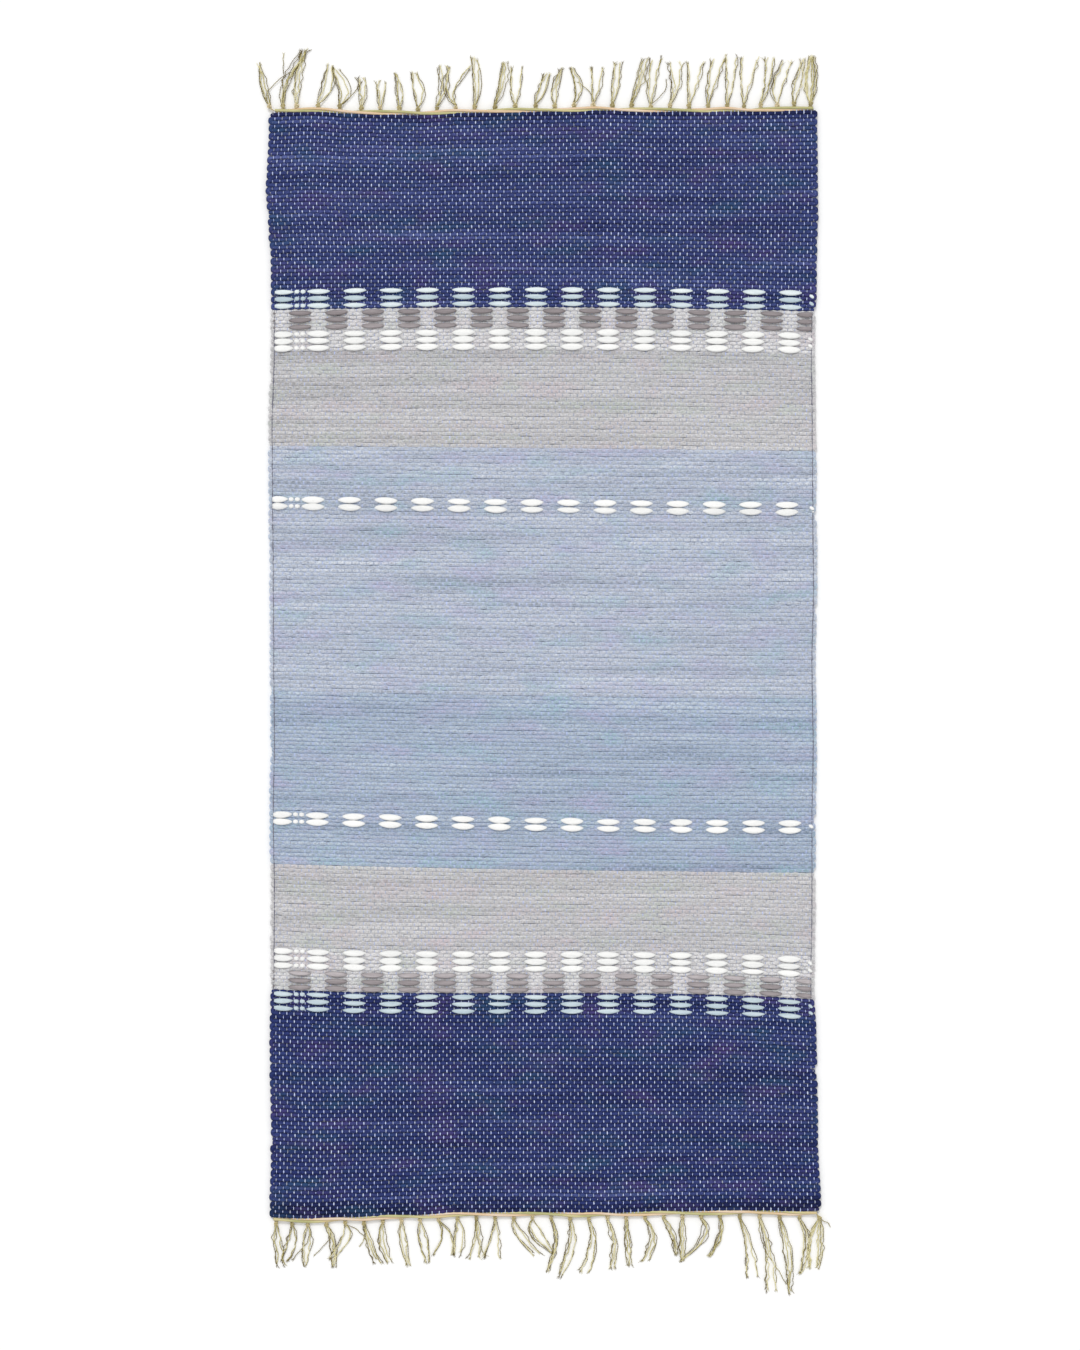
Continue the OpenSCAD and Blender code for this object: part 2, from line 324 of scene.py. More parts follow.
class Nodes:
    """A short way to make a material's nodes and links."""

    def __init__(self, name, roughness, sheen, tint):
        self.material = bpy.data.materials.new(name)
        self.material.use_nodes = True
        self.tree = self.material.node_tree
        self.shader = self.tree.nodes["Principled BSDF"]
        self.shader.inputs["Roughness"].default_value = roughness
        self.shader.inputs["Specular IOR Level"].default_value = 0.25
        self.shader.inputs["Sheen Weight"].default_value = sheen
        self.shader.inputs["Sheen Roughness"].default_value = 0.55
        self.shader.inputs["Sheen Tint"].default_value = tint

    def add(self, kind, inputs=None, **settings):
        node = self.tree.nodes.new(kind)
        for key, value in settings.items():
            setattr(node, key, value)
        for key, value in (inputs or {}).items():
            self.put(node, key, value)
        return node

    def put(self, node, key, value):
        if isinstance(value, bpy.types.NodeSocket):
            self.tree.links.new(value, node.inputs[key])
        else:
            node.inputs[key].default_value = value

    def value(self, name):
        return self.add("ShaderNodeAttribute", attribute_name=name).outputs["Fac"]

    def math(self, operation, a, b=0.0, clamp=False):
        node = self.add("ShaderNodeMath", {0: a, 1: b}, operation=operation)
        node.use_clamp = clamp
        return node.outputs[0]

    def noise(self, place, scale, detail=2.0, roughness=0.5, distortion=0.0):
        """Noise whose grains are 1 m / scale long on each axis."""
        spread = self.add("ShaderNodeMapping", {"Vector": place, "Scale": scale})
        return self.add(
            "ShaderNodeTexNoise",
            {
                "Vector": spread.outputs[0],
                "Scale": 1.0,
                "Detail": detail,
                "Roughness": roughness,
                "Distortion": distortion,
            },
        ).outputs["Fac"]

    def ramp(self, factor, stops):
        node = self.add("ShaderNodeValToRGB", {"Fac": factor})
        ramp = node.color_ramp
        while len(ramp.elements) < len(stops):
            ramp.elements.new(0.5)
        for element, (position, colour) in zip(ramp.elements, stops):
            element.position, element.color = position, colour
        return node.outputs["Color"]

    def mix(self, factor, a, b, blend="MIX"):
        node = self.add("ShaderNodeMix", data_type="RGBA", blend_type=blend)
        for key, value in ((0, factor), (6, a), (7, b)):
            self.put(node, key, value)
        return node.outputs[2]

    def bump(self, height, strength, distance, normal=None):
        inputs = {"Height": height, "Strength": strength, "Distance": distance}
        if normal is not None:
            inputs["Normal"] = normal
        return self.add("ShaderNodeBump", inputs).outputs["Normal"]


def rag_cloth(name, shades, crease_shade, hues=(), spread=0.3, speckle=0.3, mottle=0.0, bands=0.0):
    """Torn cotton strip: shades drift in bands along the strip and fine threads
    run with it.  The creases between picks and the flanks get painted shade;
    where crease_shade is below 0 they get painted light instead, which
    cancels the shade there.  hues tint broad patches.  spread is how far the
    shade differs from strip to strip."""
    n = Nodes(name, 0.88, RAG_SHEEN, shades[-1])
    place = n.add("ShaderNodeTexCoord").outputs["Object"]
    drift = n.noise(place, (9, 110, 40), 3, 0.6)
    band = n.noise(place, (2.2, 48, 1), 3, 0.65, 0.4)
    streak = n.noise(place, (55, 620, 400), 3, 0.7, 0.3)
    grain = n.noise(place, (330, 620, 620), 3, 0.75)
    thread = n.noise(place, (500, 2600, 2600), 3, 0.7)
    mottled = n.noise(place, (420, 560, 560), 3, 0.8, 0.6)
    mood = n.math("MULTIPLY", drift, 0.5 * (1 - mottle))
    mood = n.math("ADD", mood, n.math("MULTIPLY", streak, 0.5 * (1 - mottle)))
    mood = n.math("ADD", mood, n.math("MULTIPLY", mottled, mottle))
    tone = n.math("SUBTRACT", n.math("MULTIPLY", n.value("tone"), spread), spread / 2)
    mood = n.math("ADD", mood, tone)
    mood = n.math("ADD", mood, n.math("MULTIPLY", n.math("SUBTRACT", band, 0.5), bands))
    stops = [(p, c) for p, c in zip(np.linspace(0.32, 0.68, len(shades)), shades)]
    colour = n.ramp(mood, stops)
    for k, hue in enumerate(hues):
        place_k = n.add("ShaderNodeMapping", {"Vector": place, "Location": (k + 3.1, k, 0)})
        patch = n.noise(place_k.outputs[0], (14, 34, 10), 2, 0.6)
        amount = n.math("MULTIPLY", n.math("SUBTRACT", patch, 0.52), 3.4, True)
        colour = n.mix(amount, colour, hue)
    fleck = n.math("ADD", n.math("MULTIPLY", thread, 0.4), n.math("MULTIPLY", grain, speckle))
    fleck = n.math("ADD", fleck, 0.8 - speckle / 2)
    colour = n.mix(1.0, colour, fleck, "MULTIPLY")
    # Painted shade (shade_dark) in the creases and on the flanks; when crease_shade is below 0,
    # painted light (pale) there instead.
    painted_shade = n.math("MULTIPLY", n.math("POWER", n.value("shade_mask"), 1.4), abs(crease_shade))
    shade_dark, pale = (tuple(min(0.95, c * k) for c in shades[0][:3]) + (1.0,) for k in (0.2, 2.8))
    colour = n.mix(painted_shade, colour, shade_dark if crease_shade > 0 else pale)
    n.put(n.shader, "Base Color", colour)
    coarse = n.bump(grain, 0.6, 0.0008)
    n.put(n.shader, "Normal", n.bump(thread, 0.6, 0.00035, coarse))
    rough = n.math("ADD", n.math("MULTIPLY", thread, 0.25), 0.72)
    n.put(n.shader, "Roughness", rough)
    return n.material


def yarn(name, shades, crease_shade, scale=1.0):
    """Spun cotton: tone picks the strand's own shade, with slubs and fibres,
    and painted shade on its flanks and in its creases.
    """
    n = Nodes(name, 0.9, YARN_SHEEN, shades[-1])
    place = n.add("ShaderNodeTexCoord").outputs["Object"]
    drift = n.noise(place, (35 * scale,) * 3, 2, 0.5)
    fibre = n.noise(place, (1500, 1500, 1500), 3, 0.7)
    mood = n.math("ADD", n.math("MULTIPLY", n.value("tone"), 0.6), n.math("MULTIPLY", drift, 0.8))
    mood = n.math("SUBTRACT", mood, 0.2)
    stops = [(p, c) for p, c in zip(np.linspace(0.2, 0.8, len(shades)), shades)]
    colour = n.ramp(mood, stops)
    fleck = n.math("ADD", n.math("MULTIPLY", fibre, 0.5), 0.75)
    colour = n.mix(1.0, colour, fleck, "MULTIPLY")
    # Painted shade on the flanks and in the creases of the yarn.
    painted_shade = n.math("MULTIPLY", n.value("shade_mask"), crease_shade)
    colour = n.mix(painted_shade, colour, tuple(c * 0.3 for c in shades[0][:3]) + (1.0,))
    n.put(n.shader, "Base Color", colour)
    n.put(n.shader, "Normal", n.bump(fibre, 0.5, 0.0003))
    return n.material


NAVY = [rgb(22, 31, 79), rgb(43, 54, 109), rgb(54, 66, 121), rgb(65, 77, 134), rgb(96, 108, 166)]
# A darker copy of the navy for the near end: painted shade, for light that falls off towards the
# near end.
SHADED_NAVY = [rgb(13, 23, 69), rgb(30, 42, 98), rgb(40, 53, 110), rgb(50, 63, 121), rgb(82, 94, 151)]
NAVY_HUES = [rgb(40, 78, 112), rgb(76, 62, 122)]
GREY = [rgb(142, 141, 143), rgb(180, 179, 180), rgb(192, 191, 192), rgb(216, 215, 216)]
GREY_HUES = [rgb(178, 188, 178), rgb(194, 180, 186)]
LIGHT_BLUE = [rgb(131, 139, 153), rgb(171, 177, 189), rgb(183, 188, 198), rgb(208, 212, 219)]
DEEP_BLUE = [rgb(116, 128, 146), rgb(157, 169, 184), rgb(169, 180, 193), rgb(192, 201, 211)]
BLUE_HUES = [rgb(148, 180, 190), rgb(174, 168, 198)]
WHITE = [rgb(236, 237, 236), rgb(248, 248, 246), rgb(254, 254, 252)]
PALE_BLUE = [rgb(188, 206, 215), rgb(214, 227, 233), rgb(238, 247, 248)]
MAUVE = [rgb(146, 138, 140), rgb(170, 162, 164), rgb(198, 191, 193)]
CORD = [
    rgb(184, 182, 128),
    rgb(210, 202, 150),
    rgb(222, 198, 152),
    rgb(230, 200, 164),
    rgb(236, 214, 190),
]
KNOT = [rgb(170, 157, 110), rgb(211, 197, 146), rgb(238, 221, 186)]
# The darkest FRINGE shades colour the dark strands: painted shade along the sides of the locks.
FRINGE = [rgb(108, 92, 40), rgb(158, 145, 80), rgb(228, 219, 160), rgb(248, 241, 204)]
SELVEDGE = [rgb(116, 116, 132), rgb(146, 146, 158), rgb(172, 171, 178)]
WARP = [rgb(172, 177, 190), rgb(200, 212, 255), rgb(220, 230, 255)]

NAVY_LOOK = {
    "crease_shade": 0.7,
    "hues": NAVY_HUES,
    "spread": 0.12,
    "speckle": 1.6,
    "mottle": 0.6,
    "bands": 0.55,
}
GREY_LOOK = {
    "crease_shade": -1.0,
    "hues": GREY_HUES,
    "spread": 0.08,
    "speckle": 2.0,
    "mottle": 0.9,
    "bands": 0.5,
}
BLUE_LOOK = {**GREY_LOOK, "hues": BLUE_HUES, "mottle": 0.85, "bands": 0.7}

MATERIALS = {
    "navy_rag": rag_cloth("navy_rag", NAVY, **NAVY_LOOK),
    "near_navy_rag": rag_cloth("near_navy_rag", SHADED_NAVY, **NAVY_LOOK),
    "grey_rag": rag_cloth("grey_rag", GREY, **GREY_LOOK),
    "light_blue_rag": rag_cloth("light_blue_rag", LIGHT_BLUE, **BLUE_LOOK),
    "deep_blue_rag": rag_cloth("deep_blue_rag", DEEP_BLUE, **BLUE_LOOK),
    "white_rag": rag_cloth("white_rag", WHITE, 0.2, spread=0.2, speckle=0.15),
    "pale_blue_rag": rag_cloth("pale_blue_rag", PALE_BLUE, 0.4),
    "mauve_rag": rag_cloth("mauve_rag", MAUVE, 0.7),
    "heading_cord": yarn("heading_cord", CORD, 0.45, 0.6),
    "knot_yarn": yarn("knot_yarn", KNOT, 0.65),
    "fringe_yarn": yarn("fringe_yarn", FRINGE, 0.5),
    "warp_yarn": yarn("warp_yarn", WARP, 0.15, 2.0),
    "selvedge_yarn": yarn("selvedge_yarn", SELVEDGE, 0.3, 2.0),
}


# --------------------------------------------------------------- ground weft

# A thread presses a rag in by DIP, over DIP_REACH to each side, and the rag
# swells sideways by the share SWELL where the thread lets go.
RINGS_PER_END = 3
DIP = 0.7
DIP_REACH = 1.35
SWELL = 0.17
BULGE = 0.2
STRIP_LIFT = 0.8
HALF_THICK = 1.9
SIDE_PRESS = 0.08
PICK_SIDES = 8
PICK_SQUARE = 0.55
# Painted shade on the loops round the selvedges and on the tucked ends.
TURN_SHADE = 0.12
PICKS_PER_PIECE = 27


def over_threads(number):
    """Warp threads that pass over this pick, on the face."""
    return THREAD_X[(np.arange(ENDS) + number) % 2 == 0]


def dip(x, threads):
    """1 where a thread presses the pick, falling to 0 between threads."""
    after = np.clip(np.searchsorted(threads, x), 1, len(threads) - 1)
    near = np.minimum(np.abs(x - threads[after - 1]), np.abs(x - threads[after]))
    return np.exp(-((near / DIP_REACH) ** 2))


def strip_below(x, gap):
    """1 where a pattern strip with that first gap passes under the ground."""
    first = (gap - ENDS / 2) * END_PITCH
    phase = np.mod(x - first, 10 * END_PITCH) / END_PITCH
    return np.clip(1 - np.abs(phase - 5) / 2.2, 0, 1) ** 0.5


def pick_run(number, y, half):
    """Rings along one pick, from -X to +X."""
    step = END_PITCH / RINGS_PER_END
    x = np.arange(-BAR_HALF + step / 2, BAR_HALF, step)
    pressed = dip(x, over_threads(number))
    lifted = dip(x, over_threads(number + 1))
    n = len(x)
    plump = 1 + 0.04 * wander(n, 30, 1) + 0.05 * wander(n, n // 3, 1) + 0.02 * rng.normal()
    y_line = y + wander(n, 24, 0.14) + wander(n, n // 4, 0.22)
    wide = (half + SIDE_PRESS) * (1 + SWELL * (lifted - pressed)) * np.clip(plump, 0.96, 1.02)
    top = HALF_THICK * plump - DIP * pressed + BULGE * lifted
    bottom = HALF_THICK * plump - DIP * lifted + BULGE * pressed
    lift = strip_below(x, PICK_GAPS[number]) if number in PICK_GAPS else np.zeros(n)
    top += STRIP_LIFT * lift * (1 - pressed)
    centres = np.column_stack([x, y_line, np.full(n, MID_Z)])
    # 0.55 * pressed is painted shade in the dips where a warp thread presses the pick.
    return centres, wide, top, bottom, 0.55 * pressed, lift


def turn_rings(a, b, side):
    """Rings of the loop round a selvedge, from the end of run a to run b."""
    steps = 6
    angle = np.pi * (np.arange(steps) + 0.5) / steps - np.pi / 2
    start, stop = a[0][1], b[0][1]
    reach = TURN_REACH - 2.2 + 0.35 * rng.normal()
    x = side * (BAR_HALF + reach * np.cos(angle) ** 0.3)
    y = (start + stop) / 2 + (stop - start) / 2 * np.sin(angle)
    centres = np.column_stack([x, y, np.full(steps, MID_Z)])
    wide = np.full(steps, min(a[1], b[1]) + 0.45)
    high = np.full(steps, HALF_THICK * (0.94 + 0.05 * rng.normal()))
    return centres, wide, high, high, np.full(steps, TURN_SHADE), np.zeros(steps)


def tucked_end(run, last):
    """Rings that carry a strip's free end on past the last warp thread."""
    step = END_PITCH / RINGS_PER_END
    at = -1 if last else 0
    x, y, z = run[0][at]
    side = 1 if x > 0 else -1
    out = side * np.array([1, 2, 2.6]) * step
    out = out if last else out[::-1]
    shrink = np.array([1, 0.95, 0.5])
    shrink = shrink if last else shrink[::-1]
    centres = np.column_stack([x + out, np.full(3, y), np.full(3, z)])
    wide, high = (run[1][at] * shrink), HALF_THICK * 0.95 * shrink
    return centres, wide, high, high, np.full(3, TURN_SHADE), np.zeros(3)


# The deeper blue of the middle starts as pale as the blue beside it, and is
# itself after FADE_PICKS picks.  Grey rags are painted paler where a pattern
# strip lifts them: a painted highlight on the bulge.
FADE_AT = PICKS["middle_deep_blue_weft"][0][0]
FADE_PICKS = 5
FADE_TONE = 1.4
GREY_BULGE_LIGHT = 3.0


def pick_tone(number):
    """Shade of a pick: its own, but darker for the picks at both ends."""
    from_end = min(number / 2, (len(ALL_PICKS) - 1 - number) / 4)
    tone = rng.uniform(0, 1) - 2 * max(0, 1 - from_end)
    if number >= FADE_AT:
        tone += FADE_TONE * max(0, min(1, (FADE_AT + FADE_PICKS - number) / 3))
    return tone


def weft_strip(name, picks, material, strip, slot):
    """One length of rag strip, to and fro through its picks."""
    yarns = Yarns()
    runs = []
    for number, y, half in picks:
        run = pick_run(number, y, half)
        forward = number % 2 == 0
        runs.append((run if forward else tuple(v[::-1] for v in run), pick_tone(number)))
    first, last = (tucked_end(runs[i][0], i == -1) for i in (0, -1))
    parts, tones = [first], [np.full(3, runs[0][1])]
    for i, (run, tone) in enumerate(runs):
        parts.append(run)
        tones.append(np.full(len(run[0]), tone))
        if i + 1 < len(runs):
            side = 1 if run[0][-1][0] > 0 else -1
            ends = [(r[0][e], r[1][e]) for r, e in ((run, -1), (runs[i + 1][0], 0))]
            turn = turn_rings(*ends, side)
            parts.append(turn)
            tones.append(np.linspace(tone, runs[i + 1][1], len(turn[0])))
    parts.append(last)
    tones.append(np.full(3, runs[-1][1]))
    centres, wide, top, bottom, shade_mask, lift = (
        np.concatenate([p[k] for p in parts]) for k in range(6)
    )
    side, up = flat_frame(centres)
    # Painted highlight: grey picks paler where a pattern strip lifts them.
    tone = np.concatenate(tones) + (GREY_BULGE_LIGHT * lift if slot == "grey_rag" else 0)
    yarns.tube(
        centres, side, up, wide, top, bottom, tone, shade_mask, PICK_SIDES, PICK_SQUARE
    )
    return yarns.build(name, MATERIALS[material], [strip])


STRIP_LOOKS = {
    "far_navy_weft": ("navy_rag", "navy_rag"),
    "far_grey_weft": ("grey_rag", "grey_rag"),
    "far_light_blue_weft": ("light_blue_rag", "light_blue_rag"),
    "middle_light_blue_weft": ("light_blue_rag", "light_blue_rag"),
    "middle_deep_blue_weft": ("deep_blue_rag", "deep_blue_rag"),
    "near_deep_blue_weft": ("deep_blue_rag", "deep_blue_rag"),
    "near_grey_weft": ("grey_rag", "grey_rag"),
    "near_navy_weft": ("near_navy_rag", "navy_rag"),
}

weft_pieces = []
for strip, picks in PICKS.items():
    material, slot = STRIP_LOOKS[strip]
    parts = math.ceil(len(picks) / PICKS_PER_PIECE)
    for i, share in enumerate(np.array_split(np.arange(len(picks)), parts)):
        mine = [picks[k] for k in share]
        name = f"{strip}_picks_{i + 1}"
        piece = weft_strip(name, mine, material, strip, slot)
        length = sum(2 * half for _, _, half in mine)
        weft_pieces.append((piece, length))


# -------------------------------------------------------------- pattern rows

# Half width of a float, and how square its ends are (2 is an oval).
FLOAT_WIDE = {"white_rag": 4.4, "pale_blue_rag": 3.3, "mauve_rag": 3.35}
FLOAT_BOX = {"white_rag": 1.9, "pale_blue_rag": 1.8, "mauve_rag": 2.3}
FACE_PARTS = (-1.0, -0.88, -0.66, -0.35, 0.0, 0.35, 0.66, 0.88, 1.0)
FLOAT_LEAN = -0.5
SQUEEZED = 0.7
END_Z, LOW_Z, CREST_RISE = 4.4, 5.3, 1.35
THROUGH_Z = 2.6
# Rings of a short bit: place along it, height, half width and half height.
BIT_AT = (0.26, 0.68)
BIT = (
    (-3.3, THROUGH_Z, 0.7, 0.7),
    (-2.2, 5.7, 2.1, 0.9),
    (0, 6.1, 2.8, 1.0),
    (2.2, 5.7, 2.1, 0.9),
    (3.3, THROUGH_Z, 0.7, 0.7),
)
# Rings of the bit at the right selvedge: place from the selvedge, height, half
# width, half height, and share of the way that it is carried.
CARRIED = (
    (-9.6, THROUGH_Z, 0.8, 0.7, 0.5),
    (-7.7, 5.7, 1.8, 0.9, 0.8),
    (-5.4, 6.1, 2.5, 1.0, 1.0),
    (-3.4, 5.5, 1.8, 0.9, 1.15),
)


def float_row(yarns, y, first_gap, carry, float_wide, boxy):
    """One pattern strip: over six warp threads, down between two of them,
    under four, and up again, from selvedge to selvedge.  At the right it
    shows once more where it is carried on to the next row."""
    period, reach = 10 * END_PITCH, 3 * END_PITCH
    first = (first_gap - ENDS / 2) * END_PITCH
    tone = rng.uniform(0, 1)
    rings = []

    # shade_dark is painted shade on the strip where it dives between the picks: at the ends of each
    # float and where it passes through.
    def ring(x, z, wide, high, bend=0.0, shade_dark=0.0):
        rings.append((x, z, wide, high, bend, shade_dark))

    for middle in np.arange(first - period, HALF_W + reach, period):
        plump = 1 + 0.05 * rng.normal()
        tilt = 0.25 * rng.normal()
        for part in FACE_PARTS:
            bulge = 1 - abs(part) ** boxy
            ring(
                middle + part * (reach + 0.3),
                END_Z if abs(part) == 1 else LOW_Z + CREST_RISE * bulge**0.5,
                (SQUEEZED + (float_wide - SQUEEZED) * bulge**0.7) * plump,
                SQUEEZED + 0.6 * bulge,
                FLOAT_LEAN * (1 - part * part) + tilt * part,
                0.4 * abs(part) ** 3,
            )
        start = middle + reach
        ring(start + 0.5, THROUGH_Z, 0.8, 0.7, tilt, 0.6)
        if middle < first and first_gap in ALIGNED_GAPS:
            for place in BIT_AT:
                at = start + place * (period - 2 * reach)
                for along, *shape in BIT:
                    ring(at + along, *shape)
        else:
            for part in (0.12, 0.5, 0.88):
                deep = part == 0.5
                at = start + part * (period - 2 * reach)
                ring(at, 0.9 if deep else 1.1, 1.9 if deep else 1.5, 0.8)
        ring(start + period - 2 * reach - 0.5, THROUGH_Z, 0.8, 0.7, 0, 0.6)
    if first_gap in ALIGNED_GAPS and carry:
        rings[:] = [row for row in rings if row[0] < HALF_W - 10.5]
        for along, height, wide, high, share in CARRIED:
            ring(HALF_W + along, height, wide, high, share * carry)
    x, z, wide, high, bend, shade_dark = np.array(rings).T
    keep = np.abs(x) < HALF_W - 2.4
    x, z, wide, high, bend, shade_dark = (v[keep] for v in (x, z, wide, high, bend, shade_dark))
    wide[[0, -1]] *= 0.7
    n = len(x)
    centres = np.column_stack([x, y + bend + wander(n, 20, 0.15), z])
    side = np.tile([0.0, 1.0, 0.0], (n, 1))
    along = unit(np.gradient(centres, axis=0))
    up = unit(np.cross(along, side))
    yarns.tube(centres, side, up, wide, high, high, tone, shade_dark, 10, 0.7)


ROW_SLOTS = {"white": "white_rag", "pale_blue": "pale_blue_rag", "mauve": "mauve_rag"}
row_pieces = {}
for pattern, rows in ROWS.items():
    slot = next(s for word, s in ROW_SLOTS.items() if word in pattern)
    yarns = Yarns()
    for i, (y, gap) in enumerate(rows):
        carry = (rows[i + 1][0] - y) / 2 if i + 1 < len(rows) else 0
        float_row(yarns, y, gap, carry, FLOAT_WIDE[slot], FLOAT_BOX[slot])
    name = pattern.replace("rows", "floats").replace("pair", "pair_floats")
    row_pieces[pattern] = yarns.build(name, MATERIALS[slot], [pattern])


# ---------------------------------------------------------------------- warp

TASSELS = 30
PER_TASSEL = ENDS // TASSELS
WARP_WIDE = 0.63
WARP_HIGH = 0.45
WARP_CLEAR = 0.12
RISE = HALF_THICK - DIP + WARP_HIGH + WARP_CLEAR
ON_TOP = MID_Z + 0.95 * RISE
# Beyond the last pick a thread drops to TAIL_Z, TAIL_REACH out, under the cord.
TAIL_REACH = 2.6
TAIL_Z = 2.6

# How far the knots were pushed along the heading when they were tied.
DRIFT_AT = np.array([0, 2, 5, 11, 14, 24, 29])
FAR_DRIFT = np.array([-12, -24, -11, -6, 2, 14, 4])
NEAR_DRIFT = np.array([-4, -10, -8, -4, -3, 1, 10])


def knot_x(i, drift):
    """Where knot i sits along the heading."""
    return (i + 0.5 - TASSELS / 2) * PER_TASSEL * END_PITCH + np.interp(i, DRIFT_AT, drift)


def warp_path(j):
    """One warp thread, from its near knot to its far knot."""
    x = THREAD_X[j]
    lines = [(x, NEAR_EDGE - TAIL_REACH, TAIL_Z), (x, NEAR_EDGE - 0.1, ON_TOP)]
    for number, y, half in reversed(ALL_PICKS):
        face = 1 if (j + number) % 2 == 0 else -1
        wobble, sink = 0.16 * rng.normal(), 0.16 * rng.normal()
        for part, share in ((-0.56, 0.62), (0, 1.0), (0.56, 0.62)):
            z = MID_Z + face * (RISE * share - abs(sink))
            lines.append((x + wobble, y + part * half, z))
    lines += [(x, FAR_EDGE + 0.1, ON_TOP), (x, FAR_EDGE + TAIL_REACH, TAIL_Z)]
    return np.array(lines)


# The grey and blue bands lie between the two navy ones.
PALE_TOP = min(y - half for _, y, half in PICKS["far_navy_weft"])
PALE_LOW = max(y + half for _, y, half in PICKS["near_navy_weft"])


def among_pale(centres):
    """True for points that lie in the grey and blue bands."""
    return (centres[:, 1] < PALE_TOP) & (centres[:, 1] > PALE_LOW)


def warp_tube(yarns, centres):
    """One warp thread; among pale rags it is fluffed with their lint."""
    along = unit(np.gradient(centres, axis=0))
    side = unit(np.cross(np.tile([0.0, 0.0, 1.0], (len(centres), 1)), along))
    side[np.abs(along[:, 2]) > 0.98] = [-1.0, 0.0, 0.0]
    up = unit(np.cross(along, side))
    n = len(centres)
    wide = WARP_WIDE * np.clip(1 + 0.25 * wander(n, n // 3, 1), 0.6, 1.5)
    tone = np.clip(rng.uniform(0.2, 1) + wander(n, n // 4, 0.25), 0, 1)
    tone = np.where(among_pale(centres), 0.2 * tone, tone)
    yarns.tube(centres, side, up, wide, WARP_HIGH, WARP_HIGH, tone, 0.0, 4)


WARP_PARTS = 6
warp_pieces = []
for i, share in enumerate(np.array_split(np.arange(1, ENDS - 1), WARP_PARTS)):
    yarns = Yarns()
    for j in share:
        warp_tube(yarns, warp_path(j))
    name = f"warp_threads_{i + 1}"
    warp_pieces.append(yarns.build(name, MATERIALS["warp_yarn"], ["warp_threads"]))

# The outermost threads are drawn in a little, and in the grey and blue bands
# they lie on top of every pick.
DRAWN_IN = 2.0
yarns = Yarns()
for j in (0, ENDS - 1):
    path = warp_path(j)
    pale = among_pale(path)
    path[pale, 2] = np.maximum(path[pale, 2], ON_TOP)
    path[:, 0] *= 1 - DRAWN_IN / HALF_W
    warp_tube(yarns, path)
selvedge = yarns.build(
    "selvedge_thread_pair", MATERIALS["selvedge_yarn"], ["selvedge_threads"]
)


# ------------------------------------------------------------- heading cords


def twisted(yarns, line, radius, pitch, tones, sides=6, phase=0.0, flat=1.0):
    """Plies that twist round a line of points, about one millimetre apart."""
    step = np.linalg.norm(np.diff(line, axis=0), axis=1)
    run = np.concatenate([[0], np.cumsum(step)])
    side, up = flat_frame(line)
    plies = len(tones)
    for k, tone in enumerate(tones):
        angle = phase + 2 * np.pi * (run / pitch + k / plies)
        out = side * np.cos(angle)[:, None] + flat * up * np.sin(angle)[:, None]
        centres = line + out * radius * 0.92
        ply_side, ply_up = flat_frame(centres)
        yarns.tube(centres, ply_side, ply_up, radius, radius, radius, tone, 0.0, sides)


CORD_R = 1.75
CORD_PITCH = 170.0
CORD_Z = 3.6


def heading(name, node, start):
    """The cord along one end, from start to just short of the right side."""
    low, high = node_box(node)
    y = (low[1] + high[1]) / 2
    x = np.arange(start, high[0] - 3, 1.6)
    n = len(x)
    line = np.column_stack([x, y + wander(n, 26, 0.35), CORD_Z + wander(n, 20, 0.25)])
    yarns = Yarns()
    twisted(yarns, line, CORD_R, CORD_PITCH, (0.15, 0.8), sides=8, phase=1.2, flat=0.85)
    return yarns.build(name, MATERIALS["heading_cord"], [node])


far_cord = heading("far_heading_twist", "far_heading_cord", -343)
near_cord = heading("near_heading_twist", "near_heading_cord", -345)


# --------------------------------------------------------------------- knots


def overhand(yarns, centre, size, turn):
    """An overhand knot pulled tight: a small trefoil of thick yarn."""
    t = np.linspace(0, 2 * np.pi, 41)
    x = np.sin(t) + 2 * np.sin(2 * t)
    y = np.cos(t) - 2 * np.cos(2 * t)
    z = -np.sin(3 * t)
    c, s = math.cos(turn), math.sin(turn)
    shape = np.column_stack([c * x - s * y, s * x + c * y, 1.25 * z]) * size / 3.9
    points = centre + shape
    along = unit(np.gradient(points, axis=0))
    out = unit(points - centre)
    side = unit(np.cross(out, along))
    up = unit(np.cross(along, side))
    radius = size * 0.36
    yarns.tube(points, side, up, radius, radius, radius, rng.uniform(0, 1), 0.0, 7)


FAR_KNOT_SIZE, NEAR_KNOT_SIZE = 3.1, 2.7
BIG_KNOT = 1.25
NECK_R = 0.5


